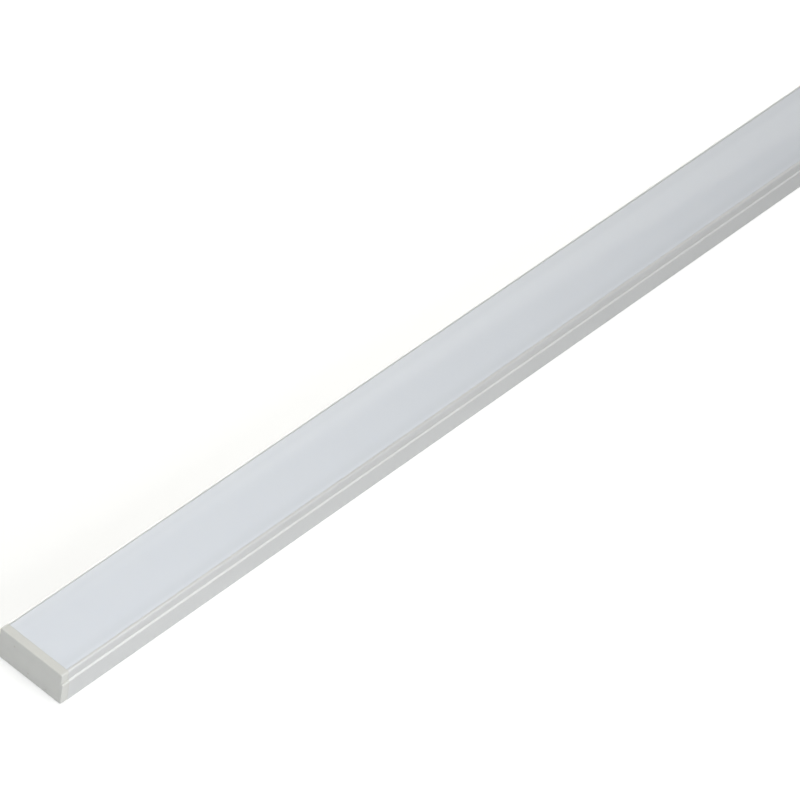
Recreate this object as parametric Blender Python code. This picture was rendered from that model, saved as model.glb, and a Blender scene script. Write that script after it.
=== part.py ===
"""Surface-mounted aluminium profile for LED strip, with its opal cover, end caps and strip.

The profile runs along X and stands on its flat underside. The origin is the middle of that
underside. The closed cap is at -X and the cap with the cable hole at +X. Metres, +Z up.
"""

import math

import bmesh
import bpy
from mathutils import Matrix, Vector

# Aluminium extrusion
PROFILE_LENGTH = 0.500
PROFILE_WIDTH = 0.0170
PROFILE_HEIGHT = 0.0075
FLOOR_THICKNESS = 0.0012
BED_WALL = 0.00235
BED_CORNER_RADIUS = 0.0003
LEDGE_DROP = 0.0023
LEDGE_WIDTH = 0.0004
LEDGE_EDGE_RADIUS = 0.00025
LIP_WIDTH = 0.00062
LIP_RADIUS = 0.0001
FOOT_RADIUS = 0.0002
POCKET_WALL = 0.00115
SHOULDER_RADIUS = 0.0002
NOSE_REACH = 0.0004
NOSE_THICKNESS = 0.00045

# Opal cover
COVER_THICKNESS = 0.0011
COVER_EDGE_RADIUS = 0.0002
COVER_EDGE_GAP = 0.0001
COVER_GAP = 0.0002
COVER_SEAT_GAP = 0.0001
LEG_LENGTH = 0.0020
LEG_THICKNESS = 0.0008
LEG_FILLET = 0.0004
LEG_FOOT_RADIUS = 0.0002
BARB_TIP = 0.00025

# End caps
FLANGE_THICKNESS = 0.0018
FLANGE_CORNER_RADIUS = 0.0004
FLANGE_EDGE_RADIUS = 0.0002
CAP_GAP = 0.0001
PLUG_LENGTH = 0.0070
PLUG_WALL = 0.0011
PLUG_CLEARANCE = 0.0002
PLUG_LEAD_IN = 0.0003
PLUG_LEAD_IN_LENGTH = 0.0010
CRUSH_RIB_WIDTH = 0.0008
CRUSH_RIB_CLEARANCE = 0.0001
CABLE_HOLE_DIAMETER = 0.0036

# LED strip
SECTION_LENGTH = 0.050
LEDS_PER_SECTION = 3
STRIP_SIDE_CLEARANCE = 0.00115
STRIP_END_CLEARANCE = 0.0050
BOARD_THICKNESS = 0.00025
TAPE_THICKNESS = 0.00015
TAPE_MARGIN = 0.0002
SEAT_GAP = 0.0001
LED_SIZE = (0.0028, 0.0035, 0.0008)
LED_EDGE_RADIUS = 0.00008
LED_WINDOW_BORDER = 0.0004
LED_WINDOW_DEPTH = 0.0001
RESISTOR_SIZE = (0.0031, 0.0016, 0.00055)
RESISTOR_EDGE_RADIUS = 0.00006

# Sizes that follow from those above
BASE_HALF = PROFILE_WIDTH / 2
TOP_HALF = BASE_HALF - LEDGE_WIDTH
MOUTH_HALF = TOP_HALF - LIP_WIDTH
POCKET_HALF = BASE_HALF - POCKET_WALL
NOSE_HALF = POCKET_HALF - NOSE_REACH
BED_HALF = BASE_HALF - BED_WALL
COVER_HALF = MOUTH_HALF - COVER_EDGE_GAP
LEG_OUTER = NOSE_HALF - COVER_GAP
LEG_INNER = LEG_OUTER - LEG_THICKNESS
PLUG_HALF = min(LEG_INNER, BED_HALF) - PLUG_CLEARANCE
LEDGE_HEIGHT = PROFILE_HEIGHT - LEDGE_DROP
COVER_UNDERSIDE = PROFILE_HEIGHT - COVER_THICKNESS
LEG_FOOT = COVER_UNDERSIDE - LEG_LENGTH
SHOULDER_HEIGHT = LEG_FOOT - COVER_GAP
NOSE_TOP = COVER_UNDERSIDE - COVER_SEAT_GAP
NOSE_UNDERSIDE = NOSE_TOP - NOSE_THICKNESS
PLUG_BOTTOM = FLOOR_THICKNESS + PLUG_CLEARANCE
PLUG_TOP = COVER_UNDERSIDE - PLUG_CLEARANCE
# A rounding stops short of using up the ledge or the corner that it runs into.
LEDGE_RADIUS = min(LEDGE_EDGE_RADIUS, 0.9 * LEDGE_WIDTH)
FLANGE_ROUNDING = min(FLANGE_EDGE_RADIUS, 0.8 * LEDGE_RADIUS, 0.8 * FLANGE_CORNER_RADIUS)

ARC_STEP = math.radians(22.5)


def clear_scene():
    """Empties the scene of whatever it opened with."""
    for obj in list(bpy.data.objects):
        bpy.data.objects.remove(obj, do_unlink=True)


def material(name, colour, roughness, metallic=0.0):
    """A plain Principled material; colour is linear RGB."""
    made = bpy.data.materials.new(name)
    made.use_nodes = True
    shader = made.node_tree.nodes["Principled BSDF"]
    shader.inputs["Base Color"].default_value = (*colour, 1.0)
    shader.inputs["Roughness"].default_value = roughness
    shader.inputs["Metallic"].default_value = metallic
    made.diffuse_color = (*colour, 1.0)
    return made


def add_object(name, mesh, finish, location=(0, 0, 0)):
    """Links an object that shows this mesh in this finish."""
    if not mesh.materials:
        mesh.materials.append(finish)
    obj = bpy.data.objects.new(name, mesh)
    obj.location = location
    bpy.context.scene.collection.objects.link(obj)
    return obj


def mesh_from(bm, name):
    """Turns the bmesh into a mesh with outward faces, smooth over its rounded edges."""
    bmesh.ops.recalc_face_normals(bm, faces=bm.faces)
    mesh = bpy.data.meshes.new(name)
    bm.to_mesh(mesh)
    bm.free()
    mesh.shade_smooth()
    mesh.set_sharp_from_angle(angle=math.radians(35))
    return mesh


def rounded(corners):
    """The closed outline through (y, z, radius) corners, each radius drawn as an arc."""
    points = []
    for index, (y, z, radius) in enumerate(corners):
        corner = Vector((0, y, z))
        arriving = corner - Vector((0, *corners[index - 1][:2]))
        leaving = Vector((0, *corners[(index + 1) % len(corners)][:2])) - corner
        turn = arriving.angle(leaving)
        if radius <= 0 or turn < 0.01:
            points.append(corner)
            continue
        side = math.copysign(1, arriving.cross(leaving).x)
        inward = side * Vector((0, -arriving.z, arriving.y)).normalized()
        start = corner - arriving.normalized() * radius * math.tan(turn / 2)
        centre = start + inward * radius
        steps = max(2, math.ceil(turn / ARC_STEP))
        for step in range(steps + 1):
            swing = Matrix.Rotation(side * turn * step / steps, 3, "X")
            points.append(centre - swing @ inward * radius)
    return points


def mirrored(half):
    """Corners of the +Y half, bottom to top on the outside, made into the whole ring."""
    return half + [(-y, z, radius) for y, z, radius in reversed(half)]


def loft(name, sections):
    """A closed body through (x, outline) sections that all have the same number of points."""
    bm = bmesh.new()
    rings = [
        [bm.verts.new((x, point.y, point.z)) for point in outline]
        for x, outline in sections
    ]
    for near, far in zip(rings, rings[1:]):
        for index, vert in enumerate(near):
            bm.faces.new((near[index - 1], vert, far[index], far[index - 1]))
    bm.faces.new(rings[0])
    bm.faces.new(rings[-1])
    return mesh_from(bm, name)


def extrusion_outline():
    """The aluminium section: floor, stepped walls, lips, snap noses and the bed."""
    return rounded(
        mirrored(
            [
                (BASE_HALF, 0, FOOT_RADIUS),
                (BASE_HALF, LEDGE_HEIGHT, LEDGE_RADIUS),
                (TOP_HALF, LEDGE_HEIGHT, 0),
                (TOP_HALF, PROFILE_HEIGHT, LIP_RADIUS),
                (MOUTH_HALF, PROFILE_HEIGHT, LIP_RADIUS),
                (MOUTH_HALF, NOSE_TOP, 0),
                (NOSE_HALF, NOSE_TOP, LIP_RADIUS),
                (NOSE_HALF, NOSE_UNDERSIDE, 0),
                (POCKET_HALF, NOSE_UNDERSIDE - NOSE_REACH, 0),
                (POCKET_HALF, SHOULDER_HEIGHT, SHOULDER_RADIUS),
                (BED_HALF, SHOULDER_HEIGHT, SHOULDER_RADIUS),
                (BED_HALF, FLOOR_THICKNESS, BED_CORNER_RADIUS),
            ]
        )
    )


def cover_outline():
    """The cover's section: a flat plate and two legs that hook under the snap noses."""
    reach = POCKET_HALF - COVER_GAP
    # The barb's upper face runs at 45 degrees, one gap below the nose's own slope.
    barb_root = NOSE_UNDERSIDE - COVER_GAP * (math.sqrt(2) - 1)
    barb_top = barb_root - (reach - LEG_OUTER)
    barb_foot = barb_top - BARB_TIP
    return rounded(
        mirrored(
            [
                (LEG_INNER, COVER_UNDERSIDE, LEG_FILLET),
                (LEG_INNER, LEG_FOOT, LEG_FOOT_RADIUS),
                (LEG_OUTER - LEG_FOOT_RADIUS, LEG_FOOT, 0),
                (reach, barb_foot, 0),
                (reach, barb_top, 0),
                (LEG_OUTER, barb_root, 0),
                (LEG_OUTER, COVER_UNDERSIDE, 0),
                (COVER_HALF, COVER_UNDERSIDE, 0),
                (COVER_HALF, PROFILE_HEIGHT, COVER_EDGE_RADIUS),
            ]
        )
    )


def flange_outline(inset):
    """The profile's outer outline closed across the top, drawn in by the inset."""
    corner = FLANGE_CORNER_RADIUS - inset
    return rounded(
        mirrored(
            [
                (BASE_HALF - inset, inset, corner),
                (BASE_HALF - inset, LEDGE_HEIGHT - inset, LEDGE_RADIUS - inset),
                (TOP_HALF - inset, LEDGE_HEIGHT - inset, 0),
                (TOP_HALF - inset, PROFILE_HEIGHT - inset, corner),
            ]
        )
    )


def plug_outline(taper):
    """The plug's U section, open upwards; the taper draws in its outer faces."""
    outer = PLUG_HALF - taper
    inner = PLUG_HALF - PLUG_WALL
    return rounded(
        mirrored(
            [
                (outer, PLUG_BOTTOM + taper, BED_CORNER_RADIUS),
                (outer, PLUG_TOP - taper, 0),
                (inner, PLUG_TOP - taper, 0),
                (inner, PLUG_BOTTOM + PLUG_WALL, BED_CORNER_RADIUS),
            ]
        )
    )


def join(target, tool, operation):
    """Adds an exact Boolean to the target and keeps the tool out of renders."""
    boolean = target.modifiers.new(tool.name, "BOOLEAN")
    boolean.operation = operation
    boolean.solver = "EXACT"
    boolean.object = tool
    tool.parent = target
    tool.hide_render = True
    tool.display_type = "WIRE"


def cylinder_mesh(name, radius, length, segments):
    """A cylinder along X, centred on its origin."""
    bm = bmesh.new()
    bmesh.ops.create_cone(
        bm,
        cap_ends=True,
        segments=segments,
        radius1=radius,
        radius2=radius,
        depth=length,
        matrix=Matrix.Rotation(math.pi / 2, 4, "Y"),
    )
    return mesh_from(bm, name)


def rounded_box(size, edge_radius=0.0):
    """A bmesh box that stands on z = 0, with its edges taken off by the radius."""
    bm = bmesh.new()
    place = Matrix.Translation((0, 0, size[2] / 2)) @ Matrix.Diagonal((*size, 1))
    bmesh.ops.create_cube(bm, size=1, matrix=place)
    if edge_radius:
        bmesh.ops.bevel(
            bm,
            geom=bm.edges[:],
            offset=edge_radius,
            segments=1,
            profile=0.5,
            affect="EDGES",
            material=-1,
        )
    return bm


def make_profile(finish):
    """The anodised extrusion, cut square at both ends."""
    outline = extrusion_outline()
    ends = [(-PROFILE_LENGTH / 2, outline), (PROFILE_LENGTH / 2, outline)]
    return add_object("aluminium_profile", loft("aluminium_profile", ends), finish)


def make_cover(finish):
    """The opal cover, as long as the profile and snapped in from above."""
    outline = cover_outline()
    ends = [(-PROFILE_LENGTH / 2, outline), (PROFILE_LENGTH / 2, outline)]
    return add_object("diffuser_cover", loft("diffuser_cover", ends), finish)


def make_cap(name, finish, end):
    """A moulded cap with its origin on the profile's end face; end is -1 or +1 along X."""
    seat = end * CAP_GAP
    face = end * (CAP_GAP + FLANGE_THICKNESS)
    sections = [(seat, flange_outline(0))]
    steps = 3
    for step in range(steps + 1):
        angle = math.pi / 2 * step / steps
        depth = FLANGE_ROUNDING * (1 - math.sin(angle))
        inset = FLANGE_ROUNDING * (1 - math.cos(angle))
        sections.append((face - end * depth, flange_outline(inset)))
    cap = add_object(name, loft(name, sections), finish, (end * PROFILE_LENGTH / 2, 0, 0))

    tip = -end * PLUG_LENGTH
    plug_sections = [
        (seat + end * FLANGE_THICKNESS / 2, plug_outline(0)),
        (tip + end * PLUG_LEAD_IN_LENGTH, plug_outline(0)),
        (tip, plug_outline(PLUG_LEAD_IN)),
    ]
    plug = add_object(name + "_plug", loft(name + "_plug", plug_sections), finish)
    join(cap, plug, "UNION")

    rib_length = PLUG_LENGTH - PLUG_LEAD_IN_LENGTH
    rib_height = (PLUG_BOTTOM + SHOULDER_HEIGHT) / 2
    rib_mesh = cylinder_mesh(name + "_rib", CRUSH_RIB_WIDTH / 2, rib_length, 12)
    for side in (-1, 1):
        # A low ridge: the rest of the cylinder is sunk in the plug's wall.
        centre = BED_HALF - CRUSH_RIB_CLEARANCE - CRUSH_RIB_WIDTH / 2
        place = (-end * rib_length / 2, side * centre, rib_height)
        rib = add_object(f"{name}_rib_{side:+d}", rib_mesh, finish, place)
        join(cap, rib, "UNION")
    return cap


def drill_cable_hole(cap, finish):
    """Bores the lead's hole through the flange, between the plug's walls."""
    length = 4 * FLANGE_THICKNESS
    cutter_mesh = cylinder_mesh("cable_hole", CABLE_HOLE_DIAMETER / 2, length, 32)
    height = (PLUG_BOTTOM + PLUG_WALL + PLUG_TOP) / 2
    cutter = add_object("cable_hole", cutter_mesh, finish, (FLANGE_THICKNESS / 2, 0, height))
    join(cap, cutter, "DIFFERENCE")


def led_mesh():
    """A flat white package with a sunk window for the phosphor."""
    bm = rounded_box(LED_SIZE, LED_EDGE_RADIUS)
    top = max(bm.faces, key=lambda face: face.calc_center_median().z)
    border = LED_WINDOW_BORDER - LED_EDGE_RADIUS
    bmesh.ops.inset_region(bm, faces=[top], thickness=border, depth=0)
    bmesh.ops.inset_region(
        bm, faces=[top], thickness=LED_WINDOW_DEPTH, depth=-LED_WINDOW_DEPTH
    )
    return mesh_from(bm, "led")


def make_strip(finishes):
    """Tape, flexible board, LEDs and resistors, laid on the bed from the closed end."""
    strip_width = 2 * (BED_HALF - STRIP_SIDE_CLEARANCE)
    room = PROFILE_LENGTH - 2 * (PLUG_LENGTH + STRIP_END_CLEARANCE)
    sections = math.floor(room / SECTION_LENGTH)
    length = sections * SECTION_LENGTH
    start = -PROFILE_LENGTH / 2 + PLUG_LENGTH + STRIP_END_CLEARANCE
    middle = start + length / 2

    tape_base = FLOOR_THICKNESS + SEAT_GAP
    board_base = tape_base + TAPE_THICKNESS + SEAT_GAP
    parts_base = board_base + BOARD_THICKNESS + SEAT_GAP

    tape_size = (length, strip_width - 2 * TAPE_MARGIN, TAPE_THICKNESS)
    tape = mesh_from(rounded_box(tape_size), "strip_tape")
    add_object("strip_tape", tape, finishes["tape"], (middle, 0, tape_base))
    board_size = (length, strip_width, BOARD_THICKNESS)
    board = mesh_from(rounded_box(board_size), "strip_board")
    add_object("strip_board", board, finishes["board"], (middle, 0, board_base))

    led = led_mesh()
    resistor = mesh_from(rounded_box(RESISTOR_SIZE, RESISTOR_EDGE_RADIUS), "resistor")
    pitch = SECTION_LENGTH / LEDS_PER_SECTION
    for section in range(sections):
        section_start = start + section * SECTION_LENGTH
        for place in range(LEDS_PER_SECTION):
            number = section * LEDS_PER_SECTION + place + 1
            x = section_start + (place + 0.5) * pitch
            add_object(f"led_{number:02d}", led, finishes["led"], (x, 0, parts_base))
        # The resistor sits midway between the section's last two LEDs.
        x = section_start + (LEDS_PER_SECTION - 1) * pitch
        name = f"resistor_{section + 1:02d}"
        add_object(name, resistor, finishes["resistor"], (x, 0, parts_base))


def main():
    clear_scene()
    aluminium = material("anodised_aluminium", (0.62, 0.63, 0.63), 0.42, 0.6)
    opal = material("opal_acrylic", (0.69, 0.72, 0.75), 0.38)
    plastic = material("cap_plastic", (0.66, 0.66, 0.60), 0.45)
    strip_finishes = {
        "tape": material("adhesive_tape", (0.75, 0.62, 0.35), 0.7),
        "board": material("white_solder_mask", (0.82, 0.82, 0.80), 0.4),
        "led": material("led_package", (0.85, 0.80, 0.50), 0.35),
        "resistor": material("resistor_body", (0.02, 0.02, 0.02), 0.45),
    }
    make_profile(aluminium)
    make_cover(opal)
    make_cap("end_cap_closed", plastic, -1)
    cable_cap = make_cap("end_cap_cable", plastic, 1)
    drill_cable_hole(cable_cap, plastic)
    make_strip(strip_finishes)


main()
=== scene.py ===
"""Visual model of a surface-mounted aluminium profile for LED strip.

The profile lies along X on its flat underside, with the closed cap at -X, near the camera, and
the cap with the cable hole at +X. Metres, +Z up.
"""

import math

import bmesh
import bpy
from mathutils import Matrix, Vector


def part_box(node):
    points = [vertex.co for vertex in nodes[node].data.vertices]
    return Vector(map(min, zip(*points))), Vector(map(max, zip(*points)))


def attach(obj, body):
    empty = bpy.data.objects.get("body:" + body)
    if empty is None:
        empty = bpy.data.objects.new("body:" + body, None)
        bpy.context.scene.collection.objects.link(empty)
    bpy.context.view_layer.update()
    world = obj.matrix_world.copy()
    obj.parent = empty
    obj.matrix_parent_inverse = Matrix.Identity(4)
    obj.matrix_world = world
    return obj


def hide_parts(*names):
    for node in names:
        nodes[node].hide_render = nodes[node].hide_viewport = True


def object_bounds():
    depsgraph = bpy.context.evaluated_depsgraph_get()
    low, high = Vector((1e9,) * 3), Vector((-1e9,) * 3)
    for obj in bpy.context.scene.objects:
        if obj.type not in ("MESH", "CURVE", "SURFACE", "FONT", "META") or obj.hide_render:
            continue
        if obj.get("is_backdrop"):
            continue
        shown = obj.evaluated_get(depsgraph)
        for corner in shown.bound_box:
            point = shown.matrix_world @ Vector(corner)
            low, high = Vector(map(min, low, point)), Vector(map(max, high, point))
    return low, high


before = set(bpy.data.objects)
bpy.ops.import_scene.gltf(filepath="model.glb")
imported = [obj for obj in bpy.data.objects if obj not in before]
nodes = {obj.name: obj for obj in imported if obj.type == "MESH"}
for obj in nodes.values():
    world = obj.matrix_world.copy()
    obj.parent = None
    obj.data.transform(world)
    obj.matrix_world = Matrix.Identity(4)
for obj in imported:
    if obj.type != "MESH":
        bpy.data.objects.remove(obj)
cad_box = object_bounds()
scene = bpy.context.scene
scene.view_settings.view_transform = "Standard"


# Camera: a long lens close to the near end, from above and in front, rolled a little, so that
# the profile climbs to the right and leaves the picture about 215 mm along its length.
LENS = 220.17
SENSOR = 36.0
CAMERA_PLACE = Vector((-0.72341, -0.39887, 0.67197))
CAMERA_TARGET = Vector((-0.14613, 0.00194, 0.00375))
CAMERA_ROLL = math.radians(10.277)

camera_data = bpy.data.cameras.new("camera")
camera_data.lens = LENS
camera_data.sensor_width = SENSOR
camera_data.clip_start = 0.05
camera_data.clip_end = 100.0
camera = bpy.data.objects.new("camera", camera_data)
scene.collection.objects.link(camera)
aim = (CAMERA_TARGET - CAMERA_PLACE).to_track_quat("-Z", "Y").to_matrix()
turned = aim @ Matrix.Rotation(CAMERA_ROLL, 3, "Z")
camera.matrix_world = Matrix.Translation(CAMERA_PLACE) @ turned.to_4x4()
scene.camera = camera


# Studio: a plain white floor and white surroundings. The floor keeps a faint shadow of the
# object, and further out, where the lamps reach less, it glows more, so that it stays white.
WHITE = (1.0, 1.0, 1.0)
FLOOR_SIZE = 60.0
FLOOR_DROP = 0.00002
FLOOR_ALBEDO = 0.70
FLOOR_GLOW = 0.33
FLOOR_GLOW_FAR = 0.86
LIT_MIDDLE = Vector((-0.28, 0.0, 0.0))
LIT_RADIUS = 0.05
UNLIT_RADIUS = 0.60
FLOOR_SHEEN = 0.10
SKY_SHEEN = 0.50
SURROUND_LIGHT = 0.22


def add_node(tree, kind, inputs=None, **settings):
    """Adds a shader node. Each input is a value, or the socket that feeds it."""
    made = tree.nodes.new(kind)
    for name, value in settings.items():
        setattr(made, name, value)
    for name, value in (inputs or {}).items():
        if isinstance(value, bpy.types.NodeSocket):
            tree.links.new(value, made.inputs[name])
        else:
            made.inputs[name].default_value = value
    return made


def maths(tree, operation, first, second=0.0):
    """The output of a Math node."""
    made = add_node(tree, "ShaderNodeMath", {0: first, 1: second}, operation=operation)
    return made.outputs[0]


def ranged(tree, value, low, high, start=0.0, end=1.0):
    """The value mapped from start..end to low..high."""
    spans = {"Value": value, "From Min": start, "From Max": end, "To Min": low, "To Max": high}
    return add_node(tree, "ShaderNodeMapRange", spans).outputs["Result"]


def object_place(tree):
    """The Object coordinates, in metres."""
    return add_node(tree, "ShaderNodeTexCoord").outputs["Object"]


def opaque(colour):
    """The colour with full alpha."""
    return (*colour, 1.0)


def start_material(name):
    """A node material, its tree and its Principled shader."""
    made = bpy.data.materials.new(name)
    made.use_nodes = True
    return made, made.node_tree, made.node_tree.nodes["Principled BSDF"]


def glow_by_ray(tree, to_camera, in_reflections, as_light):
    """A strength for camera rays, one for glossy and transmission rays, and one for the rest."""
    ray = add_node(tree, "ShaderNodeLightPath").outputs
    shiny = maths(tree, "MAXIMUM", ray["Is Glossy Ray"], ray["Is Transmission Ray"])
    unseen = add_node(tree, "ShaderNodeMix", {0: shiny, 2: as_light, 3: in_reflections})
    seen = add_node(
        tree, "ShaderNodeMix", {0: ray["Is Camera Ray"], 2: unseen.outputs[0], 3: to_camera}
    )
    return seen.outputs[0]


floor_finish, tree, shader = start_material("studio_floor")
shader.inputs["Base Color"].default_value = opaque((FLOOR_ALBEDO,) * 3)
shader.inputs["Roughness"].default_value = 1.0
shader.inputs["Specular IOR Level"].default_value = 0.0
shader.inputs["Emission Color"].default_value = opaque(WHITE)
from_middle = add_node(
    tree, "ShaderNodeVectorMath", {0: object_place(tree), 1: LIT_MIDDLE}, operation="DISTANCE"
)
floor_glow = ranged(
    tree, from_middle.outputs["Value"], FLOOR_GLOW, FLOOR_GLOW_FAR, LIT_RADIUS, UNLIT_RADIUS
)
floor_light = glow_by_ray(tree, floor_glow, FLOOR_SHEEN, 0.0)
tree.links.new(floor_light, shader.inputs["Emission Strength"])

floor_shape = bmesh.new()
bmesh.ops.create_grid(
    floor_shape,
    x_segments=1,
    y_segments=1,
    size=FLOOR_SIZE / 2,
    matrix=Matrix.Translation((0, 0, -FLOOR_DROP)),
)
floor_mesh = bpy.data.meshes.new("studio_floor")
floor_shape.to_mesh(floor_mesh)
floor_shape.free()
floor_mesh.materials.append(floor_finish)
floor = bpy.data.objects.new("studio_floor", floor_mesh)
scene.collection.objects.link(floor)
floor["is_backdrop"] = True

world = bpy.data.worlds.new("studio")
world.use_nodes = True
scene.world = world
sky = world.node_tree.nodes["Background"]
sky_light = glow_by_ray(world.node_tree, 1.0, SKY_SHEEN, SURROUND_LIGHT)
world.node_tree.links.new(sky_light, sky.inputs["Strength"])
sky.inputs["Color"].default_value = opaque(WHITE)


# Lamps: soft boxes round the near end, so that the light falls off along the profile, a weak one
# over the far end, and one whose narrow beam lights only the cap with the cable hole. Each is a
# place, the point it faces, its side, its power and its colour.
WARM = (1.0, 0.985, 0.905)
COOL = (0.92, 0.96, 1.0)
PALE_BLUE = (0.975, 0.99, 1.0)
LAMPS = {
    "top_box": (Vector((-0.22, -0.10, 0.30)), Vector((-0.22, 0.0, 0.0)), 0.25, 0.333, WARM),
    "front_box": (Vector((-0.20, -0.40, 0.20)), Vector((-0.22, 0.0, 0.0)), 0.25, 0.551, PALE_BLUE),
    "low_box": (Vector((-0.30, -0.25, 0.10)), Vector((-0.25, 0.0, 0.0)), 0.15, 0.225, PALE_BLUE),
    "end_box": (Vector((-0.60, -0.05, 0.25)), Vector((-0.25, 0.0, 0.0)), 0.25, 0.624, COOL),
    "back_box": (Vector((-0.15, 0.35, 0.35)), Vector((-0.20, 0.0, 0.0)), 0.30, 0.78, WARM),
    "far_box": (Vector((0.29, -0.05, 0.20)), Vector((0.29, 0.0, 0.0)), 0.20, 0.21, WHITE),
    "cable_end_box": (Vector((0.42, -0.16, 0.22)), Vector((0.27, 0.0, 0.0)), 0.15, 0.045, WHITE),
}
CABLE_END_BEAM = math.radians(55)

for name, (place, target, size, power, colour) in LAMPS.items():
    data = bpy.data.lights.new(name, "AREA")
    data.shape = "SQUARE"
    data.size = size
    data.energy = power
    data.color = colour
    lamp = bpy.data.objects.new(name, data)
    lamp.location = place
    lamp.rotation_mode = "QUATERNION"
    lamp.rotation_quaternion = (target - place).to_track_quat("-Z", "Y")
    lamp.visible_camera = False
    scene.collection.objects.link(lamp)
bpy.data.lights["cable_end_box"].spread = CABLE_END_BEAM

# From some sides the back box would show in the glossy cover as a hard white patch.
bpy.data.objects["back_box"].visible_glossy = False

# Panels that are seen only in reflections. The front edge of the back one runs along the profile,
# so the glossy cover shows a slightly brighter band on its far side. The front one lights up the
# ledge, and the low wall far behind lights up the rounded rims of the lips. Each is a place, a
# size along X and across, turns about X and Z in degrees, and a brightness.
PANELS = {
    "back_panel": (Vector((0.135, 0.2665, 0.40)), (0.67, 0.05), (0.0, -1.7), 1.0),
    "front_panel": (Vector((0.045, -0.195, 0.30)), (0.22, 0.15), (-33.0, 0.0), 2.5),
    "low_wall": (Vector((0.00, 1.00, 0.32)), (2.20, 0.60), (-90.0, 0.0), 3.2),
}

for name, (place, size, turns, brightness) in PANELS.items():
    data = bpy.data.lights.new(name, "AREA")
    data.shape = "RECTANGLE"
    data.size, data.size_y = size
    data.energy = brightness * math.pi * data.size * data.size_y
    data.color = WARM
    panel = bpy.data.objects.new(name, data)
    panel.location = place
    panel.rotation_euler = (math.radians(turns[0]), 0.0, math.radians(turns[1]))
    panel.visible_camera = False
    panel.visible_diffuse = False
    scene.collection.objects.link(panel)


# Aluminium extrusion: one length of 6063, pressed through a die, etched matt and anodised in its
# natural silver, then cut square, so that its ends show bare metal. Fine die lines run along it.
LENGTH_HALF = 0.25008
WIDTH_HALF = 0.0085
HEIGHT = 0.0075
LEDGE_INSIDE = 0.0053
LEDGE_OUTSIDE = 0.00505
UPPER_HALF = 0.0081
MOUTH_HALF = 0.00748
NOSE_HALF = 0.00695
POCKET_HALF = 0.00735
BED_HALF = 0.00615
NOSE_TOP = 0.0063
NOSE_UNDERSIDE = 0.00585
POCKET_TOP = 0.00545
SHOULDER = 0.0042
BED = 0.0012
FOOT_ROUNDING = 0.0002
LEDGE_ROUNDING = 0.00012
STEP_ROUNDING = 0.00008
LIP_ROUNDING = 0.0004
MOUTH_ROUNDING = 0.00005
NOSE_ROUNDING = 0.0001
SHOULDER_ROUNDING = 0.0002
BED_ROUNDING = 0.0003
ROUNDING_STEPS = 6
SHARP_ANGLE = math.radians(40)
ALUMINIUM_LIGHT = (0.68, 0.686, 0.694)
ALUMINIUM_DARK = (0.65, 0.657, 0.666)
ALUMINIUM_CUT = (0.72, 0.72, 0.715)
ALUMINIUM_METALLIC = 0.65
ALUMINIUM_ROUGHNESS = (0.38, 0.44)
ALUMINIUM_RELIEF = 0.000001
DIE_LINE_WIDTH = 0.00022
DIE_LINE_LENGTH = 0.120
ETCH_GRAIN = 0.00006
CLOUD_SIZE = 0.012
NOISE_SPAN = (0.3, 0.7)
END_ON = 0.9


def extruded(name, half_section, half_length, finish):
    """A piece drawn along X. The +Y half of its section is given as (y, z, rounding) corners."""
    corners = half_section + [(-y, z, rounding) for y, z, rounding in reversed(half_section)]
    shape = bmesh.new()
    verts = [shape.verts.new((-half_length, y, z)) for y, z, _ in corners]
    shape.faces.new(verts)
    for rounding in sorted({corner[2] for corner in corners if corner[2]}):
        bmesh.ops.bevel(
            shape,
            geom=[vert for vert, corner in zip(verts, corners) if corner[2] == rounding],
            offset=rounding,
            affect="VERTICES",
            segments=ROUNDING_STEPS,
            profile=0.5,
            material=-1,
        )
    drawn = bmesh.ops.extrude_face_region(shape, geom=shape.faces[:])["geom"]
    far_end = [item for item in drawn if isinstance(item, bmesh.types.BMVert)]
    bmesh.ops.translate(shape, verts=far_end, vec=(2 * half_length, 0, 0))
    bmesh.ops.recalc_face_normals(shape, faces=shape.faces[:])
    return finished_piece(name, shape, finish)


def finished_piece(name, shape, finish):
    """Turns the bmesh into a smooth piece whose flat faces stay flat."""
    mesh = bpy.data.meshes.new(name)
    shape.to_mesh(mesh)
    shape.free()
    mesh.materials.append(finish)
    mesh.shade_smooth()
    mesh.set_sharp_from_angle(angle=SHARP_ANGLE)
    piece = bpy.data.objects.new(name, mesh)
    scene.collection.objects.link(piece)
    weighted = piece.modifiers.new("flat_faces", "WEIGHTED_NORMAL")
    weighted.keep_sharp = True
    return piece


def start_group(name, inputs, outputs):
    """A shader node group with float inputs, given with their defaults, and float outputs."""
    group = bpy.data.node_groups.new(name, "ShaderNodeTree")
    for label, value in inputs.items():
        made = group.interface.new_socket(label, in_out="INPUT", socket_type="NodeSocketFloat")
        made.default_value = value
    for label in outputs:
        group.interface.new_socket(label, in_out="OUTPUT", socket_type="NodeSocketFloat")
    start = group.nodes.new("NodeGroupInput")
    end = group.nodes.new("NodeGroupOutput")
    return group, start.outputs, end.inputs


def use_group(tree, group, **values):
    """The one output of the group, placed in a tree. Its inputs are named with underscores."""
    made = tree.nodes.new("ShaderNodeGroup")
    made.node_tree = group
    for name, value in values.items():
        made.inputs[name.replace("_", " ")].default_value = value
    return made.outputs[0]


def split(tree, vector):
    """The X, Y and Z outputs of a vector."""
    return add_node(tree, "ShaderNodeSeparateXYZ", {0: vector}).outputs


def facing(tree, axis):
    """How far the surface faces along one of the object's axes, from -1 to 1."""
    return split(tree, add_node(tree, "ShaderNodeTexCoord").outputs["Normal"])[axis]


def mixed(tree, factor, first, second):
    """The colour that blends first into second. Each is a colour, or the socket that gives one."""
    made = add_node(tree, "ShaderNodeMix", {0: factor, 6: first, 7: second}, data_type="RGBA")
    return made.outputs[2]


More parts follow.
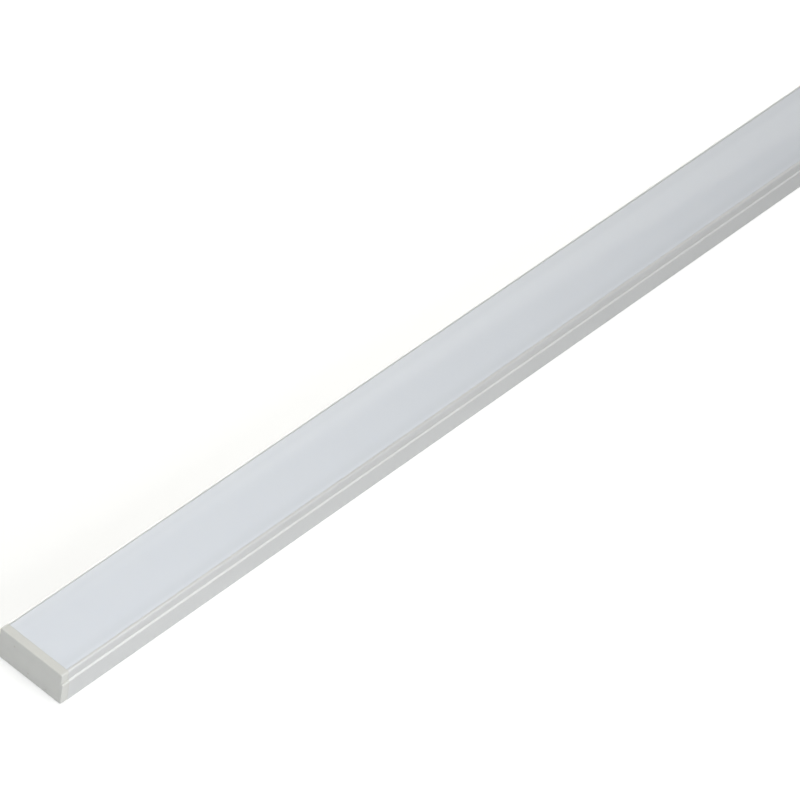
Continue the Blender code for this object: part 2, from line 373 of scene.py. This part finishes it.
def bumped(tree, height, depth):
    """The normal of a surface whose height varies by the depth, in metres."""
    made = add_node(tree, "ShaderNodeBump", {"Height": height, "Distance": depth})
    return made.outputs["Normal"]


def feed(tree, shader, **links):
    """Links sockets into the shader's inputs, named with underscores."""
    for name, socket in links.items():
        tree.links.new(socket, shader.inputs[name.replace("_", " ")])


# Streaks that follow the length of an extruded piece.
drawn_lines, line_in, line_out = start_group(
    "drawn_lines", {"Line Width": 0.0002, "Line Length": 0.1}, ["Lines"]
)
across = maths(drawn_lines, "DIVIDE", 1.0, line_in["Line Width"])
along = maths(drawn_lines, "DIVIDE", 1.0, line_in["Line Length"])
squeeze = add_node(drawn_lines, "ShaderNodeCombineXYZ", {"X": along, "Y": across, "Z": across})
stretched = add_node(
    drawn_lines,
    "ShaderNodeVectorMath",
    {0: object_place(drawn_lines), 1: squeeze.outputs[0]},
    operation="MULTIPLY",
)
line_noise = add_node(
    drawn_lines, "ShaderNodeTexNoise", {"Vector": stretched.outputs[0], "Scale": 1.0, "Detail": 3.0}
)
clearer = ranged(drawn_lines, line_noise.outputs["Fac"], 0.0, 1.0, *NOISE_SPAN)
drawn_lines.links.new(clearer, line_out["Lines"])

# Even grain of one size in all directions.
fine_grain, grain_in, grain_out = start_group("fine_grain", {"Grain Size": 0.0001}, ["Grain"])
grain_scale = maths(fine_grain, "DIVIDE", 1.0, grain_in["Grain Size"])
grain_noise = add_node(
    fine_grain,
    "ShaderNodeTexNoise",
    {"Vector": object_place(fine_grain), "Scale": grain_scale, "Detail": 2.0},
)
clearer = ranged(fine_grain, grain_noise.outputs["Fac"], 0.0, 1.0, *NOISE_SPAN)
fine_grain.links.new(clearer, grain_out["Grain"])

anodised, tree, shader = start_material("anodised_aluminium")
lines = use_group(tree, drawn_lines, Line_Width=DIE_LINE_WIDTH, Line_Length=DIE_LINE_LENGTH)
etch = use_group(tree, fine_grain, Grain_Size=ETCH_GRAIN)
cloud = use_group(tree, fine_grain, Grain_Size=CLOUD_SIZE)
cut_end = maths(tree, "GREATER_THAN", maths(tree, "ABSOLUTE", facing(tree, "X")), END_ON)
tone = maths(tree, "ADD", maths(tree, "MULTIPLY", lines, 0.5), maths(tree, "MULTIPLY", cloud, 0.5))
skin = mixed(tree, tone, opaque(ALUMINIUM_DARK), opaque(ALUMINIUM_LIGHT))
feed(
    tree,
    shader,
    Base_Color=mixed(tree, cut_end, skin, opaque(ALUMINIUM_CUT)),
    Roughness=ranged(tree, lines, *ALUMINIUM_ROUGHNESS),
    Normal=bumped(tree, maths(tree, "ADD", lines, etch), ALUMINIUM_RELIEF),
)
shader.inputs["Metallic"].default_value = ALUMINIUM_METALLIC

extrusion = extruded(
    "anodised_extrusion",
    [
        (WIDTH_HALF, 0.0, FOOT_ROUNDING),
        (WIDTH_HALF, LEDGE_OUTSIDE, LEDGE_ROUNDING),
        (UPPER_HALF, LEDGE_INSIDE, STEP_ROUNDING),
        (UPPER_HALF, HEIGHT, LIP_ROUNDING),
        (MOUTH_HALF, HEIGHT, MOUTH_ROUNDING),
        (MOUTH_HALF, NOSE_TOP, 0.0),
        (NOSE_HALF, NOSE_TOP, NOSE_ROUNDING),
        (NOSE_HALF, NOSE_UNDERSIDE, 0.0),
        (POCKET_HALF, POCKET_TOP, 0.0),
        (POCKET_HALF, SHOULDER, SHOULDER_ROUNDING),
        (BED_HALF, SHOULDER, SHOULDER_ROUNDING),
        (BED_HALF, BED, BED_ROUNDING),
    ],
    LENGTH_HALF,
    anodised,
)
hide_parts("aluminium_profile")
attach(extrusion, "profile")


# Opal cover: an extruded acrylic strip, milky right through and glossy on top, with edges that
# roll off a little. Two barbed legs hook it under the snap noses. Above the legs its colour is
# painted a little darker: painted shade, for the light that comes back out of it less there.
COVER_HALF = 0.00745
COVER_ROLL = 0.00030
COVER_ROLL_DROP = 0.00001
COVER_ROLL_STEPS = 4
COVER_EDGE_ROUNDING = 0.00003
COVER_UNDERSIDE = 0.0064
LEG_OUTER = 0.00675
LEG_INNER = 0.00595
LEG_FOOT = 0.0044
LEG_FILLET = 0.0004
LEG_FOOT_ROUNDING = 0.0002
BARB_REACH = 0.00715
BARB_ROOT = 0.005767
BARB_TIP = 0.00025
OPAL = (0.70, 0.727, 0.778)
# Painted shade: the darker cover colour over the legs, and where it starts and ends across.
OPAL_PAINTED_SHADE = (0.675, 0.702, 0.751)
PAINTED_SHADE_STOPS = (0.55, 0.87, 0.97)
OPAL_GRAIN = 0.00008
OPAL_ROUGHNESS = (0.03, 0.04)
OPAL_RELIEF = 0.00000002
OPAL_DEPTH = 0.0003
ACRYLIC_IOR = 1.49


def across_place(tree):
    """The distance from the middle line of the profile."""
    return maths(tree, "ABSOLUTE", split(tree, object_place(tree))["Y"])


opal, tree, shader = start_material("opal_cover")
# Painted shade: the base colour darkens over the legs, where less light comes back out.
share = maths(tree, "DIVIDE", across_place(tree), COVER_HALF)
painted_shade_ramp = add_node(tree, "ShaderNodeValToRGB", {"Fac": share})
painted_shade_ramp.color_ramp.interpolation = "EASE"
stops = painted_shade_ramp.color_ramp.elements
stops[0].position, stops[1].position = PAINTED_SHADE_STOPS[:2]
stops.new(PAINTED_SHADE_STOPS[2])
for stop, colour in zip(stops, (OPAL, OPAL_PAINTED_SHADE, OPAL)):
    stop.color = opaque(colour)
satin = use_group(tree, fine_grain, Grain_Size=OPAL_GRAIN)
feed(
    tree,
    shader,
    Base_Color=painted_shade_ramp.outputs["Color"],
    Roughness=ranged(tree, satin, *OPAL_ROUGHNESS),
    Normal=bumped(tree, satin, OPAL_RELIEF),
)
shader.inputs["IOR"].default_value = ACRYLIC_IOR
shader.inputs["Subsurface Weight"].default_value = 1.0
shader.inputs["Subsurface Radius"].default_value = (1.0, 1.0, 1.0)
shader.inputs["Subsurface Scale"].default_value = OPAL_DEPTH

barb_top = BARB_ROOT - (BARB_REACH - LEG_OUTER)
cover_section = [
    (LEG_INNER, COVER_UNDERSIDE, LEG_FILLET),
    (LEG_INNER, LEG_FOOT, LEG_FOOT_ROUNDING),
    (LEG_OUTER - LEG_FOOT_ROUNDING, LEG_FOOT, 0.0),
    (BARB_REACH, barb_top - BARB_TIP, 0.0),
    (BARB_REACH, barb_top, 0.0),
    (LEG_OUTER, BARB_ROOT, 0.0),
    (LEG_OUTER, COVER_UNDERSIDE, 0.0),
    (COVER_HALF, COVER_UNDERSIDE, 0.0),
    (COVER_HALF, HEIGHT - COVER_ROLL_DROP, COVER_EDGE_ROUNDING),
]
for step in range(COVER_ROLL_STEPS - 1, -1, -1):
    reach = step / COVER_ROLL_STEPS
    inward = COVER_HALF - COVER_ROLL * (1 - reach)
    cover_section.append((inward, HEIGHT - COVER_ROLL_DROP * reach**2, 0.0))
cover = extruded("opal_diffuser", cover_section, LENGTH_HALF, opal)
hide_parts("diffuser_cover")
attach(cover, "profile")


# End caps: moulded in pale grey-white ABS with a fine matt texture and a few dark specks, pushed
# into the channel by their ribbed plugs. The far one has a round hole for the lead.
CAP_PALE = (0.600, 0.600, 0.578)
CAP_SHADE = (0.580, 0.581, 0.561)
CAP_SPECK = (0.50, 0.49, 0.44)
CAP_GRAIN = 0.00012
CAP_MOTTLE = 0.0025
CAP_ROUGHNESS = (0.42, 0.52)
CAP_RELIEF = 0.000002
ABS_IOR = 1.53
SPECK_SPACING = 0.0025
SPECK_SIZE = 0.00028

# Scattered round specks. Where one lies deeper under the surface, less of it shows.
specks, speck_in, speck_out = start_group("specks", {"Spacing": 0.002, "Size": 0.0002}, ["Specks"])
cells = add_node(
    specks,
    "ShaderNodeTexVoronoi",
    {"Vector": object_place(specks), "Scale": maths(specks, "DIVIDE", 1.0, speck_in["Spacing"])},
)
speck_distance = maths(specks, "MULTIPLY", cells.outputs["Distance"], speck_in["Spacing"])
speck_share = maths(specks, "DIVIDE", speck_distance, speck_in["Size"])
specks.links.new(ranged(specks, speck_share, 1.0, 0.0, 0.5, 1.0), speck_out["Specks"])

cap_plastic, tree, shader = start_material("cap_plastic")
mould = use_group(tree, fine_grain, Grain_Size=CAP_GRAIN)
mottle = use_group(tree, fine_grain, Grain_Size=CAP_MOTTLE)
dark_specks = use_group(tree, specks, Spacing=SPECK_SPACING, Size=SPECK_SIZE)
plain_cap = mixed(tree, mottle, opaque(CAP_SHADE), opaque(CAP_PALE))
feed(
    tree,
    shader,
    Base_Color=mixed(tree, dark_specks, plain_cap, opaque(CAP_SPECK)),
    Roughness=ranged(tree, mould, *CAP_ROUGHNESS),
    Normal=bumped(tree, mould, CAP_RELIEF),
)
shader.inputs["IOR"].default_value = ABS_IOR
for name in ("end_cap_closed", "end_cap_cable"):
    nodes[name].material_slots[0].material = cap_plastic


# LED strip: adhesive tape under a flexible board, which has copper tracks under a white solder
# mask and is printed with a line at every 50 mm, where it may be cut.
SECTION = 0.050
LED_PITCH = SECTION / 3
STRIP_START, STRIP_END = (corner.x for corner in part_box("strip_board"))
FIRST_LED = STRIP_START + LED_PITCH / 2
TRACK_MIDDLE = 0.0038
TRACK_HALF = 0.0009
LINK_HALF = 0.0007
CUT_LINE_HALF = 0.00008
EDGE_BLUR = 0.00004
MASK_WHITE = (0.80, 0.80, 0.78)
MASK_OVER_COPPER = (0.74, 0.73, 0.68)
MASK_GRAIN = 0.0003
MASK_ROUGHNESS = (0.34, 0.46)
COPPER_RELIEF = 0.00003
PRINT_BLACK = (0.03, 0.03, 0.03)
TAPE_AMBER = (0.75, 0.62, 0.35)
TAPE_PALE = (0.80, 0.69, 0.44)
TAPE_FIBRE = 0.0004
TAPE_ROUGHNESS = (0.55, 0.75)
TAPE_RELIEF = 0.00001
UPWARD = 0.7

# How far a point is, along X, from the nearest of the places that repeat at one pitch.
repeat_along, repeat_in, repeat_out = start_group(
    "repeat_along", {"First": 0.0, "Pitch": 0.01}, ["Offset"]
)
lengthways = split(repeat_along, object_place(repeat_along))["X"]
from_first = maths(repeat_along, "SUBTRACT", lengthways, repeat_in["First"])
pitches = maths(repeat_along, "DIVIDE", from_first, repeat_in["Pitch"])
spare = maths(repeat_along, "SUBTRACT", pitches, maths(repeat_along, "ROUND", pitches))
signed = maths(repeat_along, "MULTIPLY", spare, repeat_in["Pitch"])
repeat_along.links.new(maths(repeat_along, "ABSOLUTE", signed), repeat_out["Offset"])


def facing_up(tree):
    """1 where the surface faces up, 0 on the sides and below."""
    return maths(tree, "GREATER_THAN", facing(tree, "Z"), UPWARD)


def within(tree, value, half):
    """1 where the value is below the half width, with a soft edge."""
    return ranged(tree, value, 1.0, 0.0, half - EDGE_BLUR, half + EDGE_BLUR)


def product(tree, *masks):
    """The masks multiplied together."""
    result = masks[0]
    for mask in masks[1:]:
        result = maths(tree, "MULTIPLY", result, mask)
    return result


tape_finish, tree, shader = start_material("adhesive_tape")
fibres = use_group(tree, fine_grain, Grain_Size=TAPE_FIBRE)
feed(
    tree,
    shader,
    Base_Color=mixed(tree, fibres, opaque(TAPE_AMBER), opaque(TAPE_PALE)),
    Roughness=ranged(tree, fibres, *TAPE_ROUGHNESS),
    Normal=bumped(tree, fibres, TAPE_RELIEF),
)
nodes["strip_tape"].material_slots[0].material = tape_finish

board_finish, tree, shader = start_material("flexible_board")
sideways = across_place(tree)
from_led = use_group(tree, repeat_along, First=FIRST_LED, Pitch=LED_PITCH)
from_cut = use_group(tree, repeat_along, First=STRIP_START, Pitch=SECTION)
from_track = maths(tree, "ABSOLUTE", maths(tree, "SUBTRACT", sideways, TRACK_MIDDLE))
rails = within(tree, from_track, TRACK_HALF)
links = product(tree, within(tree, from_led, LINK_HALF), within(tree, sideways, TRACK_MIDDLE))
copper = maths(tree, "MAXIMUM", rails, links)
cut_line = product(tree, within(tree, from_cut, CUT_LINE_HALF), facing_up(tree))
masked = mixed(tree, copper, opaque(MASK_WHITE), opaque(MASK_OVER_COPPER))
lacquer = use_group(tree, fine_grain, Grain_Size=MASK_GRAIN)
feed(
    tree,
    shader,
    Base_Color=mixed(tree, cut_line, masked, opaque(PRINT_BLACK)),
    Roughness=ranged(tree, lacquer, *MASK_ROUGHNESS),
    Normal=bumped(tree, copper, COPPER_RELIEF),
)
nodes["strip_board"].material_slots[0].material = board_finish


# LEDs and resistors: white plastic packages with yellow phosphor in their windows, and ceramic
# chips with a black glaze on top and tinned ends. A machine places them on the board.
WINDOW_HALF_LENGTH = 0.00100
WINDOW_HALF_WIDTH = 0.00135
PACKAGE_WHITE = (0.82, 0.82, 0.79)
PHOSPHOR_PALE = (0.84, 0.72, 0.24)
PHOSPHOR_DEEP = (0.78, 0.62, 0.14)
PHOSPHOR_GRAIN = 0.00008
PHOSPHOR_RELIEF = 0.000003
PACKAGE_ROUGHNESS = 0.45
PHOSPHOR_ROUGHNESS = 0.20
CERAMIC_WHITE = (0.72, 0.73, 0.72)
GLAZE_BLACK = (0.02, 0.02, 0.022)
TIN = (0.70, 0.70, 0.69)
CHIP_GRAIN = 0.0001
CHIP_ROUGHNESS = (0.28, 0.40)
CHIP_RELIEF = 0.000004
GLAZE_HALF_LENGTH = 0.00110
GLAZE_HALF_WIDTH = 0.00072

led_finish, tree, shader = start_material("led_package")
from_led = use_group(tree, repeat_along, First=FIRST_LED, Pitch=LED_PITCH)
phosphor = product(
    tree,
    within(tree, from_led, WINDOW_HALF_LENGTH),
    within(tree, across_place(tree), WINDOW_HALF_WIDTH),
    facing_up(tree),
)
powder = use_group(tree, fine_grain, Grain_Size=PHOSPHOR_GRAIN)
filling = mixed(tree, powder, opaque(PHOSPHOR_DEEP), opaque(PHOSPHOR_PALE))
feed(
    tree,
    shader,
    Base_Color=mixed(tree, phosphor, opaque(PACKAGE_WHITE), filling),
    Roughness=ranged(tree, phosphor, PACKAGE_ROUGHNESS, PHOSPHOR_ROUGHNESS),
    Normal=bumped(tree, powder, PHOSPHOR_RELIEF),
)

resistor_finish, tree, shader = start_material("resistor_body")
first_resistor = STRIP_START + 2 * LED_PITCH
from_middle = use_group(tree, repeat_along, First=first_resistor, Pitch=SECTION)
body = within(tree, from_middle, GLAZE_HALF_LENGTH)
glaze = product(tree, body, within(tree, across_place(tree), GLAZE_HALF_WIDTH), facing_up(tree))
frit = use_group(tree, fine_grain, Grain_Size=CHIP_GRAIN)
tinned = mixed(tree, body, opaque(TIN), opaque(CERAMIC_WHITE))
feed(
    tree,
    shader,
    Base_Color=mixed(tree, glaze, tinned, opaque(GLAZE_BLACK)),
    Metallic=maths(tree, "SUBTRACT", 1.0, body),
    Roughness=ranged(tree, frit, *CHIP_ROUGHNESS),
    Normal=bumped(tree, frit, CHIP_RELIEF),
)

for name, node in nodes.items():
    if name.startswith("led_"):
        node.material_slots[0].material = led_finish
    elif name.startswith("resistor_"):
        node.material_slots[0].material = resistor_finish


# Solder: the tinned pads on each side of a cut line, and the sloping joints at the ends of the
# LEDs and resistors that hold them to the board.
BOARD_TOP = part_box("strip_board")[1].z
PAD_SIZE = Vector((0.0020, 0.0016, 0.00005))
PAD_FROM_CUT = 0.0014
PAD_ROW = 0.0038
PAD_RIM = 0.4
SUNK = 0.00001
LED_JOINT_WIDTH = 0.0020
RESISTOR_JOINT_WIDTH = 0.0014
JOINT_REACH = 0.0005
JOINT_HEIGHT = 0.00034
JOINT_OVERLAP = 0.00005
JOINT_SLOPE = 0.85
SLOPE_STEPS = 4
SOLDER_LIGHT = (0.74, 0.74, 0.73)
SOLDER_DARK = (0.64, 0.64, 0.635)
SOLDER_GRAIN = 0.00015
SOLDER_ROUGHNESS = (0.22, 0.42)
SOLDER_RELIEF = 0.000004

solder, tree, shader = start_material("tinned_solder")
frost = use_group(tree, fine_grain, Grain_Size=SOLDER_GRAIN)
feed(
    tree,
    shader,
    Base_Color=mixed(tree, frost, opaque(SOLDER_DARK), opaque(SOLDER_LIGHT)),
    Roughness=ranged(tree, frost, *SOLDER_ROUGHNESS),
    Normal=bumped(tree, frost, SOLDER_RELIEF),
)
shader.inputs["Metallic"].default_value = 1.0


def add_block(shape, middle, size, slope_to=None):
    """A block with a rounded rim. Given a direction, its top edge on that side slopes off."""
    matrix = Matrix.Translation(middle) @ Matrix.Diagonal((*size, 1.0))
    corners = bmesh.ops.create_cube(shape, size=1.0, matrix=matrix)["verts"]
    if slope_to is None:
        rim = [vert for vert in corners if vert.co.z > middle.z]
        offset = size.z * PAD_RIM
    else:
        on_side = [vert for vert in corners if (vert.co - middle).dot(slope_to) > 0]
        rim = [vert for vert in on_side if vert.co.z > middle.z]
        offset = min(abs(size.dot(slope_to)), size.z) * JOINT_SLOPE
    edges = {edge for vert in rim for edge in vert.link_edges if edge.other_vert(vert) in rim}
    bmesh.ops.bevel(
        shape,
        geom=list(edges),
        offset=offset,
        affect="EDGES",
        segments=SLOPE_STEPS,
        profile=0.5,
        material=-1,
    )


def strip_joints(node, along, width):
    """The middle, size and outward direction of the two solder joints of a part."""
    low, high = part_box(node)
    middle = (low + high) / 2
    half = abs(((high - low) / 2).dot(along))
    size = Vector((width, width, JOINT_HEIGHT))
    for axis in range(2):
        if along[axis]:
            size[axis] = JOINT_REACH + JOINT_OVERLAP
    for side in (-1, 1):
        place = middle + along * side * (half + (JOINT_REACH - JOINT_OVERLAP) / 2)
        place.z = BOARD_TOP - SUNK + JOINT_HEIGHT / 2
        yield place, size, along * side


pads = bmesh.new()
pad_height = BOARD_TOP - SUNK + PAD_SIZE.z / 2
for cut in range(round((STRIP_END - STRIP_START) / SECTION) + 1):
    for side in (-1, 1):
        x = STRIP_START + cut * SECTION + side * PAD_FROM_CUT
        if STRIP_START < x < STRIP_END:
            for row in (-PAD_ROW, PAD_ROW):
                add_block(pads, Vector((x, row, pad_height)), PAD_SIZE)
cut_pads = finished_piece("cut_pads", pads, solder)

joints = bmesh.new()
for name in nodes:
    if name.startswith("led_"):
        for place, size, outward in strip_joints(name, Vector((0, 1, 0)), LED_JOINT_WIDTH):
            add_block(joints, place, size, outward)
    elif name.startswith("resistor_"):
        for place, size, outward in strip_joints(name, Vector((1, 0, 0)), RESISTOR_JOINT_WIDTH):
            add_block(joints, place, size, outward)
solder_joints = finished_piece("solder_joints", joints, solder)

for piece in (cut_pads, solder_joints):
    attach(piece, "profile")


# The sizes of the finished model, next to those of the solids.
boxes = {"cad": cad_box, "visual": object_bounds()}
{name: [list(corner) for corner in box] for name, box in boxes.items()}
